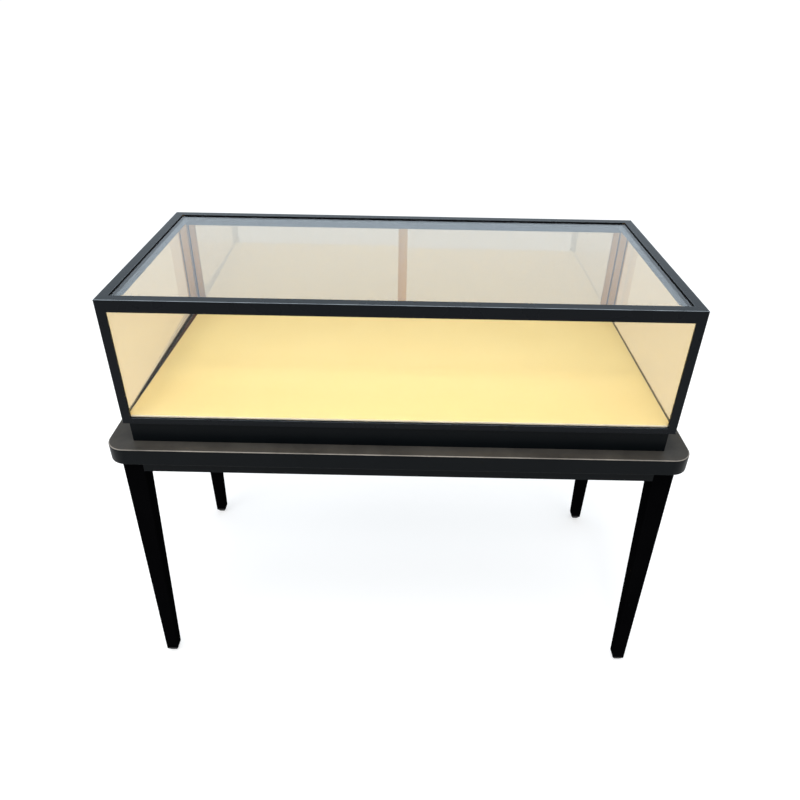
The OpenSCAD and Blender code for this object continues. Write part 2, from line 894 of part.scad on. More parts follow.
// Both stiles; the outer one has a finger groove in its rear face
module door_stiles() {
    color([0.66, 0.56, 0.42]) difference() {
        union() {
            block([-door_far, -door_t / 2, shoe_z], [-door_far + stile_w, door_t / 2, door_top]);
            block([door_near - stile_w, -door_t / 2, shoe_z], [door_near, door_t / 2, door_top]);
        }
        door_pane();
        translate([-door_far + grip_edge + grip_w / 2, door_t / 2 - grip_d, lock_z]) grip_cut();
        children();
    }
}

module grip_cut() {
    l = grip_l - grip_w;
    for (z = [-l / 2, l / 2]) translate([0, 0, z]) rotate([-90, 0, 0])
        cylinder(r = grip_w / 2, h = grip_d + cut);
    translate([-grip_w / 2, 0, -l / 2]) cube([grip_w, grip_d + cut, l]);
}

GLIDES = [-door_far + glide_in, door_near - glide_in];

module door_shoe() {
    color([0.66, 0.56, 0.42]) difference() {
        block([-door_far + stile_w, -door_t / 2, shoe_z], [door_near - stile_w, door_t / 2, shoe_z + shoe_h]);
        door_pane();
        for (x = GLIDES) translate([x, 0, shoe_z - cut])
            cylinder(r = peg_r + fit_gap, h = peg_h + fit_gap + cut);
    }
}

// Plastic glides with a peg pressed into the shoe
module door_glides() {
    color([0.9, 0.9, 0.88]) for (x = GLIDES) translate([x, 0, door_floor]) {
        translate([-glide_l / 2, -glide_w / 2, 0]) cube([glide_l, glide_w, glide_t]);
        cylinder(r = peg_r, h = glide_t + peg_h);
    }
}

module on_left_line() {
    translate([0, left_line, 0]) children();
}

module on_right_line() {
    translate([0, right_line, 0]) mirror([1, 0, 0]) children();
}

// A cut of one length for the locking pin, from a depth measured from a stile's front face
module pin_cut(r, from, l) {
    translate([0, from - door_t / 2, lock_z]) rotate([-90, 0, 0]) cylinder(r = r, h = l);
}

module door_left_glass() { on_left_line() door_glass(); }
module door_left_stiles() {
    on_left_line() door_stiles() pin_cut(lock_pin_r + run_gap, -cut, door_t + 2 * cut);
}
module door_left_shoe() { on_left_line() door_shoe(); }
module door_left_glides() { on_left_line() door_glides(); }

module door_right_glass() { on_right_line() door_glass(); }
module door_right_stiles() {
    on_right_line() door_stiles() pin_cut(lock_pin_r + 2 * move_gap, door_t - keeper_d, keeper_d + cut);
}
module door_right_shoe() { on_right_line() door_shoe(); }
module door_right_glides() { on_right_line() door_glides(); }

// Plunger lock on the left door's meeting stile: pushed in, its pin enters the right door's stile
module lock_case() {
    x = door_near + lock_case_lap;
    color([0.7, 0.71, 0.72]) difference() {
        block([x - lock_case_w, lock_face, lock_z - lock_case_h / 2],
            [x, lock_face + lock_case_t, lock_z + lock_case_h / 2]);
        at_lock(lock_face - cut) cylinder(r = plunger_r, h = lock_case_t + 2 * cut);
    }
}

// The lock's axis, from a depth towards the rear
module at_lock(y) {
    translate([0, y, lock_z]) rotate([-90, 0, 0]) children();
}

module lock_plunger() {
    color([0.8, 0.8, 0.8]) difference() {
        union() {
            at_lock(plunger_front) cylinder(r = plunger_r - run_gap, h = plunger_l);
            at_lock(pin_tip) cylinder(r = lock_pin_r, h = plunger_front - pin_tip + cut);
        }
        at_lock(plunger_back - plug_l) cylinder(r = plug_r, h = plug_l + cut);
    }
}

module lock_plug() {
    w = key_slot_w / 2;
    h = key_slot_h / 2;
    color([0.72, 0.6, 0.32]) difference() {
        at_lock(plunger_back - plug_l + run_gap) cylinder(r = plug_r - run_gap, h = plug_l - run_gap);
        block([-w, plunger_back - key_slot_d, lock_z - h], [w, plunger_back + cut, lock_z + h]);
    }
}

// Light under the front top rail: an aluminium channel, its strip and an opal cover
module led_place() {
    translate([-led_half, -half_d + rail_w, led_z]) rotate([90, 0, 90])
        linear_extrude(2 * led_half) children();
}

module led_channel() {
    color([0.75, 0.76, 0.77]) led_place() difference() {
        square([led_w, led_h]);
        translate([led_wall, -cut]) square([led_w - 2 * led_wall, led_h - led_roof + cut]);
    }
}

module led_diffuser() {
    color([1, 0.95, 0.82]) led_place()
        translate([led_wall, diffuser_in]) square([led_w - 2 * led_wall, diffuser_t]);
}

module led_strip() {
    n = floor((2 * led_half - 2 * chip_margin) / chip_pitch);
    color([0.98, 0.9, 0.6]) translate([0, lead_exit_y, strip_z]) {
        block([-led_half + strip_t, -strip_w / 2, 0], [led_half - strip_t, strip_w / 2, strip_t]);
        for (i = [0 : n]) translate([(i - n / 2) * chip_pitch - chip_w / 2, -chip_w / 2, -chip_h])
            cube([chip_w, chip_w, chip_h + strip_t / 2]);
    }
}

// The light's lead runs through the left top rail and the rear left post to the driver
LEAD = [
    [lead_exit_x, lead_exit_y, strip_z],
    [lead_exit_x, lead_exit_y, lead_exit_z],
    [lead_rail_x, lead_exit_y, lead_exit_z],
    [lead_rail_x, lead_exit_y, lead_rail_z],
    [lead_rail_x, lead_post_y, lead_rail_z],
    [lead_rail_x, lead_post_y, lead_notch_z],
    [lead_drop_x, lead_post_y, lead_notch_z],
    [lead_drop_x, lead_drop_y, lead_notch_z],
    [lead_drop_x, lead_drop_y, lead_floor_z],
    [lead_drop_x, driver_mid, lead_floor_z],
    [driver_x, driver_mid, lead_floor_z]];

// A straight round run between two points that lie along one axis
module run(a, b, r) {
    d = b - a;
    along_x = d[0] > 0 ? [0, 90, 0] : [0, -90, 0];
    along_y = d[1] > 0 ? [-90, 0, 0] : [90, 0, 0];
    along_z = d[2] > 0 ? [0, 0, 0] : [180, 0, 0];
    turn = d[0] != 0 ? along_x : d[1] != 0 ? along_y : along_z;
    translate(a) rotate(turn) cylinder(r = r, h = norm(d), $fn = 24);
}

module led_lead() {
    color([0.9, 0.9, 0.9]) {
        for (i = [0 : len(LEAD) - 2]) run(LEAD[i], LEAD[i + 1], lead_r);
        for (i = [1 : len(LEAD) - 2]) translate(LEAD[i]) sphere(r = lead_r, $fn = 24);
    }
}

// The bores for the lead in the rail, the post and the bottom rail
module lead_bores() {
    for (i = [1 : 4]) run(LEAD[i], LEAD[i + 1], lead_bore);
    for (i = [2 : 3]) translate(LEAD[i]) sphere(r = lead_bore, $fn = 24);
}

module led_driver() {
    color([0.85, 0.86, 0.87]) translate([driver_x, driver_mid, plinth_z]) {
        block([0, -driver_w / 2, 0], [driver_l, driver_w / 2, driver_h]);
        for (x = [ear_in, driver_l - ear_in - ear_w])
            block([x, -driver_w / 2 - ear_l, 0], [x + ear_w, driver_w / 2 + ear_l, ear_t]);
    }
}

// Snap-in rubber grommet in the plinth's rear board, where the mains lead leaves
module cable_grommet() {
    y0 = half_d - plinth_inset - plinth_t;
    w = grommet_neck - grommet_r;
    f = grommet_flange;
    color([0.04, 0.04, 0.04]) translate([-outlet_x, y0, plinth_z + plinth_h / 2]) rotate([-90, 0, 0])
        rotate_extrude() translate([grommet_r, 0]) {
            translate([0, -f]) square([w + f, f]);
            translate([0, -f]) square([w, plinth_t + 2 * f]);
            translate([0, plinth_t]) square([w + 2 * f, f]);
        }
}

table_top();
apron_front();
apron_rear();
apron_left();
apron_right();
leg_front_left();
leg_front_right();
leg_rear_left();
leg_rear_right();
foot_glides();
corner_brackets();
leg_bolts();
table_screws();
plinth_front();
plinth_rear();
plinth_left();
plinth_right();
plinth_blocks();
case_screws();
deck_board();
display_pad();
sill_front();
sill_rear();
sill_left();
sill_right();
post_front_left();
post_front_right();
post_rear_left();
post_rear_right();
top_rail_front();
top_rail_rear();
top_rail_left();
top_rail_right();
glass_top();
glass_front();
glass_left();
glass_right();
pane_gaskets();
top_gasket();
door_track();
door_guide();
jamb_brushes();
door_left_glass();
door_left_stiles();
door_left_shoe();
door_left_glides();
door_right_glass();
door_right_stiles();
door_right_shoe();
door_right_glides();
lock_case();
lock_plunger();
lock_plug();
led_channel();
led_strip();
led_diffuser();
led_lead();
led_driver();
cable_grommet();
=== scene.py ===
import bpy
import numpy as np
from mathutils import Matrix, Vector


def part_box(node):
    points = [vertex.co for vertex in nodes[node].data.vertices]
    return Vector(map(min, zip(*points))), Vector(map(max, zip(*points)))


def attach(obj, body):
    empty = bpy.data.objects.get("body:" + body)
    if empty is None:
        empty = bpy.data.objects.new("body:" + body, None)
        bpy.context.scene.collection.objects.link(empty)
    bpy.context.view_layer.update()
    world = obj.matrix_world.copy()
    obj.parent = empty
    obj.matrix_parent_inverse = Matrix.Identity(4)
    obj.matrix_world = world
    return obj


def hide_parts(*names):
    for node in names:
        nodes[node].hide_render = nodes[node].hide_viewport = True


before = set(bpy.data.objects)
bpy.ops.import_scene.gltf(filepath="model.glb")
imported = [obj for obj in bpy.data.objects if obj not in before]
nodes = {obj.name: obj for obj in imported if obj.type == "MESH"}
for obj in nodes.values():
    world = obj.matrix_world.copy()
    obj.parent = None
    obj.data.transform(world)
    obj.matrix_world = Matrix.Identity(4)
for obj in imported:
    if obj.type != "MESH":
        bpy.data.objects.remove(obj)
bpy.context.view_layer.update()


# Viewpoint
# A camera above and before the customer's side, as in the photograph: 31.6 degrees down, nearly square on.
# The picture is 800 by 800, and the lens follows from the lengths and the convergence of the case's rails.
lens = bpy.data.cameras.new("view")
lens.sensor_width = 36.0
lens.lens = 30.09
lens.shift_y = -0.0267
lens.clip_end = 300.0
camera = bpy.data.objects.new("view", lens)
camera.location = (0.0078, -1.4542, 1.6079)
camera.rotation_euler = np.radians([58.4411, -0.8046, 0.8171])
bpy.context.collection.objects.link(camera)
bpy.context.scene.camera = camera
bpy.context.scene.view_settings.view_transform = "Standard"


# Studio
# A pale floor in a white room. The eye, glossy surfaces and glass see the room at full white, and all other
# light is a soft fill, so a white background costs the cabinet no contrast and the floor keeps its shadow.
def linear(hex_colour):
    """An sRGB hex colour as linear red, green, blue and alpha 1: c / 12.92 up to 0.04045, and above that
    ((c + 0.055) / 1.055) ** 2.4."""
    c = np.array([int(hex_colour[i : i + 2], 16) for i in (1, 3, 5)]) / 255
    return (*np.where(c > 0.04045, ((c + 0.055) / 1.055) ** 2.4, c / 12.92).tolist(), 1.0)


def add(tree, kind, inputs=None, ramp=(), **settings):
    """A shader node with its settings. An input takes a value, a socket, or a node whose first output feeds
    it, and ramp holds the hex colours at the two ends of a colour ramp."""
    node = tree.nodes.new("ShaderNode" + kind)
    for name, value in settings.items():
        setattr(node, name, value)
    for end, hex_colour in enumerate(ramp):
        node.color_ramp.elements[end].color = linear(hex_colour)
    for name, value in (inputs or {}).items():
        if isinstance(value, bpy.types.Node):
            value = value.outputs[0]
        if isinstance(value, bpy.types.NodeSocket):
            tree.links.new(value, node.inputs[name])
        else:
            node.inputs[name].default_value = value
    return node


def bare_material(name):
    """A new material and its node tree, emptied."""
    mat = bpy.data.materials.new(name)
    mat.use_nodes = True
    mat.node_tree.nodes.clear()
    return mat, mat.node_tree


def seen_directly(tree):
    """1 for rays from the eye, from glossy surfaces and through glass, 0 for the rest."""
    ray = add(tree, "LightPath").outputs
    either = add(tree, "Math", {0: ray["Is Camera Ray"], 1: ray["Is Glossy Ray"]}, operation="MAXIMUM")
    return add(tree, "Math", {0: either, 1: ray["Is Transmission Ray"]}, operation="MAXIMUM")


# The share of the room's white that fills the shadows, and how much brighter the room is high up at the
# rear. The cosines say how near to the direction REAR_SIDE a ray gets none or all of that.
ROOM_FILL, REAR_LIGHT = 0.75, 1.35
REAR_SIDE = (0.0, 0.77, 0.64)
COSINE_NONE, COSINE_ALL = 0.5, 0.97
room = bpy.data.worlds.new("white room")
room.use_nodes = True
tree = room.node_tree
tree.nodes.clear()
direction = add(tree, "TexCoord").outputs["Generated"]
cosine = add(tree, "VectorMath", {0: direction, 1: REAR_SIDE}, operation="DOT_PRODUCT").outputs["Value"]
bright = add(tree, "MapRange", {"Value": cosine, "From Min": COSINE_NONE, "From Max": COSINE_ALL},
             interpolation_type="SMOOTHSTEP")
rear = add(tree, "MapRange", {"Value": bright, "To Min": 1.0, "To Max": REAR_LIGHT})
tint = add(tree, "ValToRGB", {"Fac": bright}, ramp=("#fcfdff", "#dcecfa"))
share = add(tree, "MapRange", {"Value": seen_directly(tree), "To Min": ROOM_FILL, "To Max": 1.0})
strength = add(tree, "Math", {0: rear, 1: share}, operation="MULTIPLY")
backdrop = add(tree, "Background", {"Color": tint, "Strength": strength})
add(tree, "OutputWorld", {"Surface": backdrop})
bpy.context.scene.world = room

# What the floor adds where it is seen directly, to meet the white room, and half the length of a side
FLOOR_GLOW, FLOOR_HALF = 0.57, 90.0
pale_floor, tree = bare_material("pale floor")
matt = add(tree, "BsdfDiffuse", {"Color": linear("#cfcfce")})
lift = add(tree, "Math", {0: seen_directly(tree), 1: FLOOR_GLOW}, operation="MULTIPLY")
glow = add(tree, "Emission", {"Color": linear("#ffffff"), "Strength": lift})
both = add(tree, "AddShader", {0: matt, 1: glow})
add(tree, "OutputMaterial", {"Surface": both})

ground = bpy.data.meshes.new("floor")
corner = np.array([[-1, -1, 0], [1, -1, 0], [1, 1, 0], [-1, 1, 0]]) * FLOOR_HALF
ground.from_pydata(corner.tolist(), [], [(0, 1, 2, 3)])
ground.materials.append(pale_floor)
floor = bpy.data.objects.new("floor", ground)
bpy.context.collection.objects.link(floor)

# The lamps are turned to a point at this height over the middle of the floor, in the lower half of the case.
AIM_HEIGHT = 0.85


def softbox(name, at, size, watts, hex_colour, mirrored=True):
    """A square lamp at a place in the room. Where mirrored is false, no pane or polished face shows it."""
    lamp = bpy.data.lights.new(name, "AREA")
    lamp.size = size
    lamp.energy = watts
    lamp.color = linear(hex_colour)[:3]
    box = bpy.data.objects.new(name, lamp)
    box.location = at
    away = np.array(at) - [0.0, 0.0, AIM_HEIGHT]
    tilt = np.arctan2(np.hypot(*away[:2]), away[2])
    box.rotation_euler = (tilt, 0.0, np.arctan2(away[1], away[0]) + np.pi / 2)
    box.visible_glossy = mirrored
    box.visible_transmission = mirrored
    bpy.context.collection.objects.link(box)


softbox("overhead softbox", (-0.3, -0.6, 3.5), size=1.6, watts=54, hex_colour="#ffffff", mirrored=False)
softbox("left softbox", (-2.9, -1.9, 3.0), size=2.2, watts=25, hex_colour="#f4f8ff")
softbox("right softbox", (2.6, -2.6, 2.6), size=1.8, watts=8, hex_colour="#fffaf2")
softbox("edge light", (0.2, -2.7, 3.9), size=0.45, watts=14, hex_colour="#ffffff")


# Table top
# A 40 mm board whose plan corners are turned at 45 mm and whose upper edge is rounded over at 3 mm, sprayed
# with black satin lacquer. The legs, aprons and plinth are screwed to it from below.

# How high a surface's normal points: from LEVEL up it faces up and is painted paler with dust and light from
# above, and on a rounded upper edge it is within TILT_SPAN of EDGE_TILT and gets a painted highlight.
LEVEL, EDGE_TILT, TILT_SPAN = 0.8, 0.72, 0.24


def black_lacquer(name, shine, deep, pale):
    """Dull black lacquer on wood: a slight orange peel of 4 mm, a gloss wiped uneven over 110 mm, patches of
    fine warm dust and painted light from above on what faces up, and a painted highlight, in patches, on a
    rounded upper edge."""
    wipes, peel = 0.11, 0.004
    mat, tree = bare_material(name)
    place = add(tree, "TexCoord").outputs["Object"]
    wiped = add(tree, "TexNoise", {"Vector": place, "Scale": 1 / wipes, "Detail": 4.0, "Roughness": 0.6})
    bumps = add(tree, "TexNoise", {"Vector": place, "Scale": 1 / peel, "Detail": 1.0})
    tone = add(tree, "ValToRGB", {"Fac": wiped}, ramp=(deep, pale))
    up = add(tree, "SeparateXYZ", {"Vector": add(tree, "NewGeometry").outputs["Normal"]}).outputs["Z"]
    # What faces up is painted paler, in patches, with warm dust and painted light from above.
    flat = add(tree, "MapRange", {"Value": up, "From Min": LEVEL, "From Max": 1.0})
    patch = add(tree, "MapRange", {
        "Value": wiped, "From Min": 0.35, "From Max": 0.65, "To Min": 0.5, "To Max": 0.85})
    dust_and_top_light_share = add(tree, "Math", {0: flat, 1: patch}, operation="MULTIPLY")
    dust_and_top_lit_tone = add(tree, "MixRGB", {0: dust_and_top_light_share, 1: tone, 2: linear("#4d4a45")})
    # The rounded upper edge gets a painted highlight, in patches.
    slope = add(tree, "Math", {0: up, 1: EDGE_TILT, 2: TILT_SPAN}, operation="COMPARE")
    edge_highlight_patches = add(tree, "Math", {0: slope, 1: wiped}, operation="MULTIPLY")
    with_edge_highlight = add(tree, "MixRGB", {0: edge_highlight_patches, 1: dust_and_top_lit_tone, 2: linear("#b9b2a8")})
    gloss = add(tree, "MapRange", {"Value": wiped, "To Min": 0.34, "To Max": 0.46})
    relief = add(tree, "Bump", {"Height": bumps, "Strength": 0.25, "Distance": 0.00006})
    skin = add(tree, "BsdfPrincipled", {
        "Base Color": with_edge_highlight, "Roughness": gloss, "Specular IOR Level": shine, "IOR": 1.5, "Normal": relief})
    add(tree, "OutputMaterial", {"Surface": skin})
    return mat


lacquer = black_lacquer("black satin lacquer on board", 0.06, "#06090b", "#0d1114")


def rings(cx, cy, hx, hy, r, z, steps=6):
    """Stacked plan outlines, one for each height z: a rectangle of half sizes hx, hy about (cx, cy) whose
    corners are quarter circles of radius r, anticlockwise from above. A point is its corner's centre plus r
    times the cosine and sine of its turn."""
    cx, cy, hx, hy, r, z = [v[:, None] for v in np.broadcast_arrays(*np.atleast_1d(cx, cy, hx, hy, r, z))]
    turn = np.repeat(np.arange(4) * np.pi / 2, steps + 1) + np.tile(np.linspace(0, np.pi / 2, steps + 1), 4)
    sx = np.repeat([1, -1, -1, 1], steps + 1)
    sy = np.repeat([1, 1, -1, -1], steps + 1)
    x = cx + sx * (hx - r) + r * np.cos(turn)
    y = cy + sy * (hy - r) + r * np.sin(turn)
    return np.stack([x, y, np.broadcast_to(z, x.shape)], axis=-1)


def between(stack):
    """Points and faces of the closed skin over a stack of outlines: quads between each two, a flat cap below
    the first and one above the last."""
    levels, around = stack.shape[:2]
    here = np.arange(levels * around).reshape(levels, around)
    beside = np.roll(here, -1, axis=1)
    quads = np.stack([here[:-1], beside[:-1], beside[1:], here[1:]], axis=-1).reshape(-1, 4)
    return stack.reshape(-1, 3), [quads, here[:1, ::-1], here[-1:]]


SHARP_CORNER = 40


def piece(name, skins, material, body, *replaced):
    """One object from one or more closed skins, smooth but for corners over SHARP_CORNER degrees, that rides
    on a body and stands for the nodes named last."""
    first = np.cumsum([0] + [len(points) for points, _ in skins])
    shifted = [group + start for start, (_, groups) in zip(first, skins) for group in groups]
    faces = [face for group in shifted for face in group.tolist()]
    mesh = bpy.data.meshes.new(name)
    mesh.from_pydata(np.concatenate([points for points, _ in skins]).tolist(), [], faces)
    mesh.materials.append(material)
    mesh.shade_smooth()
    mesh.set_sharp_from_angle(angle=np.radians(SHARP_CORNER))
    made = bpy.data.objects.new(name, mesh)
    bpy.context.collection.objects.link(made)
    level = made.modifiers.new("flats stay flat", "WEIGHTED_NORMAL")
    level.keep_sharp = True
    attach(made, body)
    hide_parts(*replaced)
    return made


def dress(material, *names):
    """Gives CAD nodes, which keep their shape, this finish."""
    for name in names:
        for own in nodes[name].material_slots:
            own.material = material


def edge_round(low, high, z0, z1, steps=4):
    """Insets and heights of a board's outline from its lower to its upper edge, each a quarter circle of
    radius low or high."""
    a = np.linspace(0, np.pi / 2, steps + 1)
    inset = np.concatenate([low * (1 - np.sin(a)), high * (1 - np.cos(a))])
    height = np.concatenate([z0 + low * (1 - np.cos(a)), z1 - high * (1 - np.sin(a))])
    return inset, height


# The board is drawn without its screw holes, so its underside lies SCREW_FACE higher and the heads show.
PLAN_CORNER, TOP_ROUND, UNDER_ROUND = 0.045, 0.003, 0.001
SCREW_FACE = 0.0002
low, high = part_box("table_top")
inset, height = edge_round(UNDER_ROUND, TOP_ROUND, low[2] + SCREW_FACE, high[2])
half = (np.array(high) - low) / 2
slab = rings(0, 0, half[0] - inset, half[1] - inset, PLAN_CORNER - inset, height, steps=20)
board = piece("table_top_board", [between(slab)], lacquer, "cabinet", "table_top")


# Legs and feet
# Square beech legs in matt black lacquer, 45 mm at the apron and 29 mm at the foot, that lean outward a
# little. Their long edges are rounded at 1.5 mm, and each stands on a moulded glide pressed into its end.
def moulded_black():
    """Black polypropylene with the fine, dull grain of an etched mould, 0.9 mm apart."""
    etching = 0.0009
    mat, tree = bare_material("black moulded polypropylene")
    place = add(tree, "TexCoord").outputs["Object"]
    grain = add(tree, "TexVoronoi", {"Vector": place, "Scale": 1 / etching})
    relief = add(tree, "Bump", {"Height": grain, "Strength": 0.4, "Distance": 0.00008})
    gloss = add(tree, "MapRange", {"Value": grain, "To Min": 0.45, "To Max": 0.62})
    skin = add(tree, "BsdfPrincipled", {
        "Base Color": linear("#0b0b0c"), "Roughness": gloss, "Specular IOR Level": 0.25, "IOR": 1.49,
        "Normal": relief})
    add(tree, "OutputMaterial", {"Surface": skin})
    return mat


leg_lacquer = black_lacquer("black matt lacquer on beech", 0.0, "#040405", "#09090a")
# A leg's width at the apron and at its end, the radius of its long edges, and the chamfer of its end
LEG_TOP, LEG_FOOT, LEG_EDGE, END_CUT = 0.045, 0.029, 0.0015, 0.0008
# A glide's height, its width near the floor, its draft there, and the height and chamfer of its lip
FOOT_H = round(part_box("leg_front_left")[0][2], 6)
FOOT_BASE, FOOT_FLARE, FOOT_LIP, LIP_CUT = 0.015, 0.0003, 0.003, 0.0006
# Where the rings along a leg's taper begin and stop, up from its end and down from the apron
TAPER_LOW, TAPER_HIGH = 0.05, 0.02
apron_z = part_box("apron_front")[0][2]
root_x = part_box("apron_right")[1][0] - LEG_TOP / 2
root_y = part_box("apron_rear")[1][1] - LEG_TOP / 2
# Each corner's name and the signs of its x and y
CORNERS = (("front_left", -1, -1), ("front_right", 1, -1), ("rear_left", -1, 1), ("rear_right", 1, 1))
feet = []
for name, sx, sy in CORNERS:
    low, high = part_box("leg_" + name)
    tip_x = max(abs(low[0]), abs(high[0])) - LEG_FOOT / 2
    tip_y = max(abs(low[1]), abs(high[1])) - LEG_FOOT / 2
    taper = np.linspace(low[2] + TAPER_LOW, apron_z - TAPER_HIGH, 5)
    z = np.array([low[2], low[2] + END_CUT, *taper, apron_z, high[2]])
    share = np.clip((z - low[2]) / (apron_z - low[2]), 0, 1)
    wide = (LEG_FOOT + (LEG_TOP - LEG_FOOT) * share) / 2
    wide[0] -= END_CUT
    leg = rings(sx * (tip_x + (root_x - tip_x) * share), sy * (tip_y + (root_y - tip_y) * share),
                wide, wide, LEG_EDGE, z, steps=4)
    shaft = piece("leg_shaft_" + name, [between(leg)], leg_lacquer, "cabinet", "leg_" + name)
    z = np.array([0.0, END_CUT, FOOT_H - FOOT_LIP, FOOT_H - LIP_CUT, FOOT_H])
    wide = np.array([FOOT_BASE / 2 - END_CUT, FOOT_BASE / 2 + FOOT_FLARE, LEG_FOOT / 2, LEG_FOOT / 2,
                     LEG_FOOT / 2 - LIP_CUT])
    feet.append(between(rings(sx * tip_x, sy * tip_y, wide, wide, LEG_EDGE, z, steps=4)))
piece("foot_glide_set", feet, moulded_black(), "cabinet", "foot_glides")


# Aprons and their fixings
# Four lacquered boards between the legs. Folded steel brackets cross the inner corners, hanger bolts pull
# the legs against them, and countersunk screws hold the rest; all the steel is zinc plated.
def zinc_plate():
    """Bright zinc plating on steel: a grey metal with the cloudy spangle of the bath, 6 mm across."""
    spangle = 0.006
    mat, tree = bare_material("zinc plated steel")
    place = add(tree, "TexCoord").outputs["Object"]
    cloud = add(tree, "TexNoise", {"Vector": place, "Scale": 1 / spangle, "Detail": 3.0})
    tone = add(tree, "ValToRGB", {"Fac": cloud}, ramp=("#a3a6a8", "#cfd0cc"))
    gloss = add(tree, "MapRange", {"Value": cloud, "To Min": 0.28, "To Max": 0.45})
    skin = add(tree, "BsdfPrincipled", {"Base Color": tone, "Metallic": 1.0, "Roughness": gloss})
    add(tree, "OutputMaterial", {"Surface": skin})
    return mat


zinc = zinc_plate()
dress(lacquer, "apron_front", "apron_rear", "apron_left", "apron_right")
dress(zinc, "corner_brackets", "leg_bolts", "table_screws")


# Plinth
# Four lacquered boards, 18 mm thick, stand on the table top, set back 10 mm from the case, with sawn beech
# blocks glued into their corners. Zinc plated screws hold them to the table top and the case to them.
def sawn_beech():
    """Unfinished beech: pale pink-brown with long upright grain and short darker flecks 1.5 mm wide."""
    fleck, drawn_out = 0.0015, 0.08
    mat, tree = bare_material("sawn beech")
    place = add(tree, "TexCoord").outputs["Object"]
    along = add(tree, "Mapping", {"Vector": place, "Scale": (1.0, 1.0, drawn_out)})
    grain = add(tree, "TexNoise", {"Vector": along, "Scale": 1 / fleck, "Detail": 3.0})
    tone = add(tree, "ValToRGB", {"Fac": grain}, ramp=("#a97f55", "#d9b98c"))
    relief = add(tree, "Bump", {"Height": grain, "Strength": 0.5, "Distance": 0.0002})
    skin = add(tree, "BsdfPrincipled", {"Base Color": tone, "Roughness": 0.75, "Normal": relief})
    add(tree, "OutputMaterial", {"Surface": skin})
    return mat


dress(lacquer, "plinth_front", "plinth_rear", "plinth_left", "plinth_right")
dress(sawn_beech(), "plinth_blocks")
dress(zinc, "case_screws")


# Case floor and pad
# A dark veneered board lies in the bottom rails, and on it a thin board wrapped in foam and cream suede
# cloth. The cloth pulls the edges round, and the pad stops short of the left rail towards the rear.
def walnut_veneer():
    """Dark stained walnut veneer under matt lacquer, its 12 mm figure drawn out along the case."""
    figure, drawn_out = 0.012, 0.06
    mat, tree = bare_material("dark walnut veneer")
    place = add(tree, "TexCoord").outputs["Object"]
    along = add(tree, "Mapping", {"Vector": place, "Scale": (drawn_out, 1.0, 1.0)})
    grain = add(tree, "TexNoise", {"Vector": along, "Scale": 1 / figure, "Detail": 6.0, "Distortion": 0.6})
    tone = add(tree, "ValToRGB", {"Fac": grain}, ramp=("#34190b", "#552f16"))
    skin = add(tree, "BsdfPrincipled", {"Base Color": tone, "Roughness": 0.5, "Specular IOR Level": 0.12})
    add(tree, "OutputMaterial", {"Surface": skin})
    return mat


def cream_suede():
    """Cream imitation suede: a dense short nap of 0.4 mm tufts, drawn 1.2 mm across so that it shows,
    brushed into faint patches of 90 mm, with a soft sheen. Its rounded edges are painted paler: painted
    light where an edge would catch it."""
    brushing, tufts = 0.09, 0.0012
    mat, tree = bare_material("cream imitation suede")
    place = add(tree, "TexCoord").outputs["Object"]
    brushed = add(tree, "TexNoise", {
        "Vector": place, "Scale": 1 / brushing, "Detail": 5.0, "Roughness": 0.65})
    nap = add(tree, "TexNoise", {"Vector": place, "Scale": 1 / tufts, "Detail": 2.0})
    tone = add(tree, "ValToRGB", {"Fac": brushed}, ramp=("#f8de98", "#fde5a2"))
    up = add(tree, "SeparateXYZ", {"Vector": add(tree, "NewGeometry").outputs["Normal"]}).outputs["Z"]
    # Faces that turn from up towards the side are painted paler: a painted light on the rounded edges.
    painted_edge_light = add(tree, "MapRange", {"Value": up, "From Min": 0.9, "From Max": 0.5, "To Max": 0.9})
    cloth = add(tree, "MixRGB", {0: painted_edge_light, 1: tone, 2: linear("#fff3dc")})
    relief = add(tree, "Bump", {"Height": nap, "Strength": 0.5, "Distance": 0.0003})
    skin = add(tree, "BsdfPrincipled", {
        "Base Color": cloth, "Roughness": 0.9, "Specular IOR Level": 0.1, "Sheen Weight": 0.25,
        "Sheen Roughness": 0.5, "Sheen Tint": linear("#fff6d8"), "Normal": relief})
    add(tree, "OutputMaterial", {"Surface": skin})
    return mat


dress(walnut_veneer(), "deck_board")

# The pad's outline steps in ring by ring: a quarter circle at the lower and one at the upper edge, then a
# crown that rises by the last 0.8 mm as 1 - exp(-distance / 25 mm). Its left end is drawn in by SHORT times
# the sixth power of the distance from the right end, as a share of the length, times the share of the depth
# to the rear.
PAD_UNDER, PAD_ROUND, PAD_CORNER, LEAST_CORNER = 0.0012, 0.0035, 0.009, 0.002
CROWN, CROWN_REACH = 0.0008, 0.025
SHORT, SHORT_POWER = 0.017, 6
low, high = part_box("display_pad")
inset, height = edge_round(PAD_UNDER, PAD_ROUND, low[2], high[2] - CROWN, steps=6)
inward = np.array([0.0045, 0.007, 0.012, 0.02, 0.035, 0.06, 0.1, 0.16, 0.24])
inset = np.concatenate([inset, inward])
height = np.concatenate([height, high[2] - CROWN * np.exp(-(inward - PAD_ROUND) / CROWN_REACH)])
half = (np.array(high) - low) / 2
mid = (np.array(high) + low) / 2
turned = np.clip(PAD_CORNER - inset, LEAST_CORNER, None)
pad = rings(mid[0], mid[1], half[0] - inset, half[1] - inset, turned, height, steps=6)
left = (high[0] - pad[..., 0]) / (high[0] - low[0])
deep = (pad[..., 1] - low[1]) / (high[1] - low[1])
pad[..., 0] += left**SHORT_POWER * (SHORT * deep)
cover = piece("suede_pad", [between(pad)], cream_suede(), "cabinet", "display_pad")


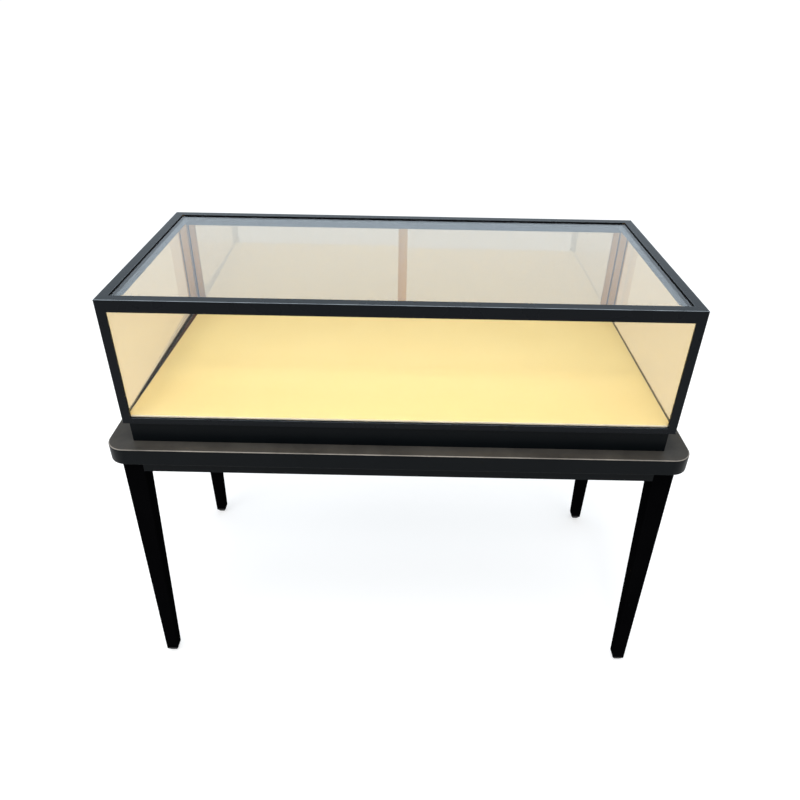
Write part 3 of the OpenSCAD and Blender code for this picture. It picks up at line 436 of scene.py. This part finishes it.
# Case frame
# Aluminium profiles: black powder-coated bottom rails with a pane groove and front posts, pale bronze rear
# posts, and black top rails mitred at the corners over the posts, with a ledge inside that carries the top
# pane.
def powder_coat(name, dust_and_top_light):
    """Smooth black powder coat: a tight ripple of 2 mm, deep black with a low gloss, a film of grey dust and
    painted light from above on what faces up, and a painted highlight on an outer edge in stretches of 70
    mm."""
    ripple, stretches = 0.002, 0.07
    mat, tree = bare_material(name)
    place = add(tree, "TexCoord").outputs["Object"]
    waves = add(tree, "TexNoise", {"Vector": place, "Scale": 1 / ripple, "Detail": 1.0})
    edge_highlight_patches = add(tree, "TexNoise", {"Vector": place, "Scale": 1 / stretches, "Detail": 4.0})
    tone = add(tree, "ValToRGB", {"Fac": edge_highlight_patches}, ramp=("#07080a", "#0c0e10"))
    up = add(tree, "SeparateXYZ", {"Vector": add(tree, "NewGeometry").outputs["Normal"]}).outputs["Z"]
    # What faces up is painted paler with grey dust and painted light from above.
    flat = add(tree, "MapRange", {"Value": up, "From Min": LEVEL, "From Max": 1.0, "To Max": dust_and_top_light})
    dust_and_top_lit_tone = add(tree, "MixRGB", {0: flat, 1: tone, 2: linear("#363b3e")})
    # The rounded outer edge gets a painted highlight, in stretches.
    slope = add(tree, "Math", {0: up, 1: EDGE_TILT, 2: TILT_SPAN}, operation="COMPARE")
    painted_edge_highlight = add(tree, "Math", {0: slope, 1: edge_highlight_patches}, operation="MULTIPLY")
    with_edge_highlight = add(tree, "MixRGB", {0: painted_edge_highlight, 1: dust_and_top_lit_tone, 2: linear("#a9b4bc")})
    gloss = add(tree, "MapRange", {"Value": edge_highlight_patches, "To Min": 0.22, "To Max": 0.34})
    relief = add(tree, "Bump", {"Height": waves, "Strength": 0.2, "Distance": 0.00005})
    skin = add(tree, "BsdfPrincipled", {
        "Base Color": with_edge_highlight, "Roughness": gloss, "Specular IOR Level": 0.11,
        "Specular Tint": linear("#e4eefa"), "IOR": 1.5, "Normal": relief})
    add(tree, "OutputMaterial", {"Surface": skin})
    return mat


def bronze_anodised():
    """Aluminium brushed upright and anodised in a pale bronze: fine lines 0.6 mm apart, 50 times as long,
    and a soft, warm gleam."""
    line, drawn_out = 0.0006, 0.02
    mat, tree = bare_material("pale bronze anodised aluminium")
    place = add(tree, "TexCoord").outputs["Object"]
    along = add(tree, "Mapping", {"Vector": place, "Scale": (1.0, 1.0, drawn_out)})
    brushing = add(tree, "TexNoise", {"Vector": along, "Scale": 1 / line, "Detail": 2.0})
    tone = add(tree, "ValToRGB", {"Fac": brushing}, ramp=("#b08e5c", "#caa873"))
    gloss = add(tree, "MapRange", {"Value": brushing, "To Min": 0.3, "To Max": 0.45})
    skin = add(tree, "BsdfPrincipled", {"Base Color": tone, "Metallic": 1.0, "Roughness": gloss})
    add(tree, "OutputMaterial", {"Surface": skin})
    return mat


# On the first finish, what faces up is painted paler with dust and light from above; on the second it is
# not. Both paint a highlight on rounded edges.
coated = powder_coat("black powder coated aluminium", dust_and_top_light=0.22)
coated_low = powder_coat("black powder coated aluminium, no dust or top light", dust_and_top_light=0.0)
bronze = bronze_anodised()

# The case's outer length and depth, rounded because the frame holds them in single precision. Each side has
# its quarter turns from the front and its length.
sill_low, sill_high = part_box("sill_front")
CASE_L, CASE_D = round(2 * sill_high[0], 6), round(-2 * sill_low[1], 6)
SIDES = {"front": (0, CASE_L), "right": (1, CASE_D), "rear": (2, CASE_L), "left": (3, CASE_D)}


def soften(corners, steps=3):
    """A closed outline whose corners (u, v, r) are rounded: a corner point p gives way to a curve that meets
    both sides where an arc of radius r would; r 0 keeps it sharp. With a and b the directions of the two
    sides and s from 0 to 1, the curve is p + reach ((1 - s)^2 a + s^2 b), a parabola within 6 % of r of the
    true arc at a right angle."""
    c = np.array(corners, float)
    p, r = c[:, :2], c[:, 2]
    a = np.roll(p, 1, axis=0) - p
    b = np.roll(p, -1, axis=0) - p
    a /= np.linalg.norm(a, axis=1)[:, None]
    b /= np.linalg.norm(b, axis=1)[:, None]
    reach = r / np.tan(np.arccos(np.clip((a * b).sum(1), -1, 1)) / 2)
    s = np.linspace(0, 1, steps + 1)[None, :, None]
    arc = p[:, None] + reach[:, None, None] * ((1 - s) ** 2 * a[:, None] + s**2 * b[:, None])
    keep = (r[:, None] > 0) | (np.arange(steps + 1) == 0)
    return arc[keep]


def bar(side, profile, ends):
    """A profile (u inward from the case's outer face, v up) carried along one side of the case. An end is a
    distance from the corner, or "mitre", where each point stops as far from the corner as it lies inward."""
    turn, length = SIDES[side]
    uv = soften(profile)
    stop = [uv[:, 0] if end == "mitre" else np.full(len(uv), end) for end in ends]
    x = np.stack([length / 2 - stop[1], stop[0] - length / 2])
    depth = CASE_D if side in ("front", "rear") else CASE_L
    y = np.broadcast_to(uv[:, 0], x.shape) - depth / 2
    cos, sin = [(1, 0), (0, 1), (-1, 0), (0, -1)][turn]
    z = np.broadcast_to(uv[:, 1], x.shape)
    return between(np.stack([cos * x - sin * y, sin * x + cos * y, z], axis=-1))


def lifted(profile, z):
    """The profile's corners at a level of the case."""
    return [(u, z + v, r) for u, v, r in profile]


# The profiles' wall, the outer and inner side of the pane's groove and the back of its lip, all measured
# from the outer face; the widths of the posts; the radii of the case's outer edges and of the small ones.
WALL, GROOVE_IN, GROOVE_OUT, LIP = 0.002, 0.0035, 0.0105, 0.012
FRONT_POST, REAR_POST = 0.020, 0.028
EDGE, FINE = 0.0019, 0.0004
# Bottom rails: the flange's width, and the heights of the outer face, the inner lip and the pane's bed. The
# rear one has a wider flange, and a low box behind its face.
FLANGE, SILL_H, SILL_LIP, SILL_BED = 0.030, 0.014, 0.011, 0.006
REAR_FLANGE, REAR_SILL_H = 0.044, 0.008
# Top rails: width, height, the groove's bed and the height of the rear one's box. Then the ledge: the pane's
# seat on it, its thickness, how far it is let into the rail, and its width at the long sides and the ends.
RAIL_W, RAIL_H, BED, REAR_BOX_H = 0.022, 0.027, -0.019, 0.016
SEAT, LEDGE_T, LEDGE_ROOT, LONG_LEDGE, END_LEDGE = -0.010, 0.002, 0.001, 0.010, 0.022
sill_z = sill_low[2]
case_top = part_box("top_rail_front")[1][2]
MITRES = ("mitre", "mitre")

# Which posts stand at a side's two ends, seen from outside with the left end first.
POSTS = {"front": (FRONT_POST, FRONT_POST), "right": (FRONT_POST, REAR_POST),
         "rear": (REAR_POST, REAR_POST), "left": (REAR_POST, FRONT_POST)}
for side, posts in POSTS.items():
    if side == "rear":
        foot = [(0, 0, FINE), (REAR_FLANGE, 0, 0), (REAR_FLANGE, WALL, FINE), (0, WALL, 0)]
        box = [(0, WALL, 0), (REAR_POST, WALL, 0), (REAR_POST, REAR_SILL_H, FINE), (WALL, REAR_SILL_H, 0),
               (WALL, SILL_H, FINE), (0, SILL_H, FINE)]
        bars = [(foot, MITRES), (box, posts)]
    else:
        foot = [(0, 0, FINE), (FLANGE, 0, 0), (FLANGE, WALL, FINE), (0, WALL, 0)]
        face = [(0, WALL, 0), (GROOVE_IN, WALL, 0), (GROOVE_IN, SILL_H, FINE), (0, SILL_H, FINE)]
        lip = [(GROOVE_IN, WALL, 0), (LIP, WALL, 0), (LIP, SILL_LIP, FINE), (GROOVE_OUT, SILL_LIP, FINE),
               (GROOVE_OUT, SILL_BED, 0), (GROOVE_IN, SILL_BED, 0)]
        lip_ends = [LIP if post == FRONT_POST else post for post in posts]
        bars = [(foot, MITRES), (face, posts), (lip, lip_ends)]
    skins = [bar(side, lifted(profile, sill_z), ends) for profile, ends in bars]
    rail = piece("bottom_profile_" + side, skins, coated_low, "cabinet", "sill_" + side)

    ledge_w = LONG_LEDGE if side in ("front", "rear") else END_LEDGE
    cap = [(0, -WALL, 0), (RAIL_W, -WALL, 0), (RAIL_W, 0, FINE), (0, 0, EDGE)]
    ledge = [(RAIL_W - LEDGE_ROOT, SEAT - LEDGE_T, 0), (RAIL_W + ledge_w, SEAT - LEDGE_T, FINE),
             (RAIL_W + ledge_w, SEAT, FINE), (RAIL_W - LEDGE_ROOT, SEAT, 0)]
    if side == "rear":
        skirt = [(0, -RAIL_H, FINE), (WALL, -RAIL_H, FINE), (WALL, -WALL, 0), (0, -WALL, 0)]
        box = [(WALL, -REAR_BOX_H, 0), (RAIL_W, -REAR_BOX_H, FINE), (RAIL_W, -WALL, 0), (WALL, -WALL, 0)]
        bars = [(cap, MITRES), (ledge, MITRES), (skirt, posts), (box, posts)]
    else:
        face = [(0, -RAIL_H, FINE), (GROOVE_IN, -RAIL_H, FINE), (GROOVE_IN, -WALL, 0), (0, -WALL, 0)]
        box = [(GROOVE_IN, BED, 0), (GROOVE_OUT, BED, 0), (GROOVE_OUT, -RAIL_H, FINE),
               (RAIL_W, -RAIL_H, FINE), (RAIL_W, -WALL, 0), (GROOVE_IN, -WALL, 0)]
        box_ends = ["mitre" if post == FRONT_POST else post for post in posts]
        bars = [(cap, MITRES), (ledge, MITRES), (face, posts), (box, box_ends)]
    skins = [bar(side, lifted(profile, case_top), ends) for profile, ends in bars]
    rail = piece("top_profile_" + side, skins, coated, "cabinet", "top_rail_" + side)


def upright(sx, sy, plan, z0, z1):
    """A plan outline, drawn inward from the corner of the case on the side of the signs sx and sy, carried
    up from z0 to z1. Two of the four corners mirror it, and there it is read backwards so that its faces
    point outwards."""
    xy = soften(plan)
    x = sx * (CASE_L / 2 - xy[:, 0])
    y = sy * (CASE_D / 2 - xy[:, 1])
    ring = np.stack([x, y], axis=-1)[:: int(sx * sy)]
    return between(np.stack([np.insert(ring, 2, z, axis=1) for z in (z0, z1)]))


# A front post is an angle whose arms cover the edges of two panes, with a solid corner between them. A rear
# post is square with one groove, for the end pane, that opens forward from GROOVE_END; its head is cut out
# for the ledges of the top rails.
GROOVE_END = 0.020
post_low, post_high = (v[2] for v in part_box("post_front_left"))
front_plan = [(0, 0, EDGE), (FRONT_POST, 0, FINE), (FRONT_POST, GROOVE_IN, FINE), (LIP, GROOVE_IN, 0),
              (LIP, LIP, FINE), (GROOVE_IN, LIP, 0), (GROOVE_IN, FRONT_POST, FINE), (0, FRONT_POST, FINE)]
end_groove = [(GROOVE_OUT, REAR_POST, FINE), (GROOVE_OUT, GROOVE_END, 0), (GROOVE_IN, GROOVE_END, 0),
              (GROOVE_IN, REAR_POST, FINE), (0, REAR_POST, FINE)]
rear_plan = [(0, 0, EDGE), (REAR_POST, 0, FINE), (REAR_POST, REAR_POST, FINE), *end_groove]
head_plan = [(0, 0, EDGE), (REAR_POST, 0, FINE), (REAR_POST, RAIL_W, 0), (RAIL_W, RAIL_W, 0),
             (RAIL_W, REAR_POST, FINE), *end_groove]
seat_z = case_top + SEAT - LEDGE_T
for name, sx in (("left", -1), ("right", 1)):
    skins = [upright(sx, -1, front_plan, post_low, post_high)]
    post = piece("corner_post_front_" + name, skins, coated, "cabinet", "post_front_" + name)
    skins = [upright(sx, 1, rear_plan, post_low, seat_z), upright(sx, 1, head_plan, seat_z, post_high)]
    post = piece("corner_post_rear_" + name, skins, bronze, "cabinet", "post_rear_" + name)


# Panes and gaskets
# Float glass in soft black rubber channels: a clear 6 mm pane on top, 5 mm with an anti-reflection coat in
# front, and 5 mm with a mirroring bronze coat at the ends.
def float_glass(name, depth, shade, ior):
    """Float glass: its colour in its depth, what it lets through of lamps, and a thin film of cleaning,
    uneven over 150 mm. A coat that mirrors more or less than bare glass is a higher or lower IOR."""
    wipes = 0.15
    mat, tree = bare_material(name)
    place = add(tree, "TexCoord").outputs["Object"]
    film = add(tree, "TexNoise", {"Vector": place, "Scale": 1 / wipes, "Detail": 3.0})
    haze = add(tree, "MapRange", {"Value": film, "From Min": 0.4, "From Max": 0.8, "To Max": 0.02})
    body = add(tree, "BsdfPrincipled", {
        "Base Color": linear(depth), "Roughness": haze, "IOR": ior, "Transmission Weight": 1.0})
    clear = add(tree, "BsdfTransparent", {"Color": linear(shade)})
    lamp = add(tree, "LightPath").outputs["Is Shadow Ray"]
    mixed = add(tree, "MixShader", {0: lamp, 1: body, 2: clear})
    add(tree, "OutputMaterial", {"Surface": mixed})
    return mat


def gasket_rubber():
    """Extruded black rubber: dull, with a paler bloom in patches of 20 mm."""
    patches = 0.02
    mat, tree = bare_material("extruded black rubber")
    place = add(tree, "TexCoord").outputs["Object"]
    bloom = add(tree, "TexNoise", {"Vector": place, "Scale": 1 / patches, "Detail": 4.0})
    tone = add(tree, "ValToRGB", {"Fac": bloom}, ramp=("#060606", "#151515"))
    skin = add(tree, "BsdfPrincipled", {"Base Color": tone, "Roughness": 0.7, "Specular IOR Level": 0.2})
    add(tree, "OutputMaterial", {"Surface": skin})
    return mat


clear_glass = float_glass("clear float glass", "#eeefee", "#f6f6f5", ior=1.5)
front_glass = float_glass("anti reflection coated float glass", "#f2f3f2", "#f8f8f7", ior=1.28)
end_glass = float_glass("light bronze coated float glass", "#e7d3b0", "#e9e2d4", ior=2.1)
rubber = gasket_rubber()
dress(clear_glass, "glass_top")
dress(front_glass, "glass_front")
dress(end_glass, "glass_left", "glass_right")
dress(rubber, "pane_gaskets", "top_gasket")


# Sliding doors
# Each door is a 5 mm pane, coated a shade darker than the ends, let into two bronze stiles and a shoe. It
# runs on white nylon glides in a twin channel, stands in a deeper one above, and meets a pile strip on its
# post.

# Distance in metres between the bands of a wave texture of scale 1
WAVE_PITCH = 0.314


def pile_strip():
    """Black woven pile: rows of tufts 0.8 mm apart."""
    row = 0.0008
    mat, tree = bare_material("black pile strip")
    place = add(tree, "TexCoord").outputs["Object"]
    tufts = add(tree, "TexWave", {
        "Vector": place, "Scale": WAVE_PITCH / row, "Distortion": 2.0, "Detail": 2.0},
        bands_direction="Z").outputs["Fac"]
    tone = add(tree, "ValToRGB", {"Fac": tufts}, ramp=("#050505", "#1d1c1a"))
    relief = add(tree, "Bump", {"Height": tufts, "Strength": 0.8, "Distance": 0.0004})
    skin = add(tree, "BsdfPrincipled", {
        "Base Color": tone, "Roughness": 0.95, "Specular IOR Level": 0.1, "Normal": relief})
    add(tree, "OutputMaterial", {"Surface": skin})
    return mat


def pale_plastic(name, hex_low, hex_high):
    """Unfilled pale plastic, moulded or extruded: milky, with faint flow marks of 15 mm."""
    flow_mark = 0.015
    mat, tree = bare_material(name)
    place = add(tree, "TexCoord").outputs["Object"]
    flow = add(tree, "TexNoise", {"Vector": place, "Scale": 1 / flow_mark, "Detail": 3.0, "Distortion": 1.0})
    tone = add(tree, "ValToRGB", {"Fac": flow}, ramp=(hex_low, hex_high))
    skin = add(tree, "BsdfPrincipled", {
        "Base Color": tone, "Roughness": 0.42, "Subsurface Weight": 0.1, "Subsurface Scale": 0.002})
    add(tree, "OutputMaterial", {"Surface": skin})
    return mat


door_glass = float_glass("bronze coated float glass", "#ccba9c", "#dedbd2", ior=2.1)
dress(door_glass, "door_left_glass", "door_right_glass")
dress(bronze, "door_left_stiles", "door_left_shoe", "door_right_stiles", "door_right_shoe")
dress(pale_plastic("white nylon", "#d9d8d0", "#ecebe4"), "door_left_glides", "door_right_glides")
dress(coated_low, "door_track", "door_guide")
dress(pile_strip(), "jamb_brushes")


# Lock
# A die cast case on the left door's meeting stile with a push cylinder, both nickel plated. The plug that
# turns in the cylinder is turned from brass.
def bright_metal(name, hex_low, hex_high, mark):
    """Plated, anodised or bare metal with a cloudy satin: fine specks where it was turned, and wider clouds
    where it was cast or drawn. Mark is the size of one."""
    mat, tree = bare_material(name)
    place = add(tree, "TexCoord").outputs["Object"]
    marks = add(tree, "TexNoise", {"Vector": place, "Scale": 1 / mark, "Detail": 3.0})
    tone = add(tree, "ValToRGB", {"Fac": marks}, ramp=(hex_low, hex_high))
    gloss = add(tree, "MapRange", {"Value": marks, "To Min": 0.14, "To Max": 0.3})
    skin = add(tree, "BsdfPrincipled", {"Base Color": tone, "Metallic": 1.0, "Roughness": gloss})
    add(tree, "OutputMaterial", {"Surface": skin})
    return mat


nickel = bright_metal("nickel plated zinc casting", "#b9b7b1", "#d6d4ce", mark=0.004)
dress(nickel, "lock_case", "lock_plunger")
dress(bright_metal("turned brass", "#a5813c", "#cda75a", mark=0.0007), "lock_plug")


# Light
# An anodised channel under the front top rail holds a strip of warm light chips behind an opal cover. Its
# lead runs inside the frame to a driver in the plinth, whose rear board has a rubber grommet as the outlet.
def opal_cover():
    """Opal acrylic, lit from behind: warm white and even, a little brighter over the chips, 33 mm apart."""
    chip_pitch = 0.033
    mat, tree = bare_material("lit opal acrylic")
    place = add(tree, "TexCoord").outputs["Object"]
    chips = add(tree, "TexWave", {"Vector": place, "Scale": WAVE_PITCH / chip_pitch, "Detail": 0.0},
                bands_direction="X").outputs["Fac"]
    level = add(tree, "MapRange", {"Value": chips, "To Min": 13.0, "To Max": 16.0})
    skin = add(tree, "BsdfPrincipled", {
        "Base Color": linear("#f6efdc"), "Roughness": 0.5, "Emission Color": linear("#ffdf9c"),
        "Emission Strength": level})
    add(tree, "OutputMaterial", {"Surface": skin})
    return mat


dress(bright_metal("satin anodised aluminium", "#a9abad", "#c3c5c6", mark=0.004), "led_channel")
dress(pale_plastic("light strip laminate", "#e9dfae", "#fff6d0"), "led_strip")
dress(opal_cover(), "led_diffuser")
dress(pale_plastic("white cable sheath", "#d4d4d0", "#e6e6e2"), "led_lead")
dress(pale_plastic("white moulded housing", "#cdcdca", "#dededb"), "led_driver")
dress(rubber, "cable_grommet")
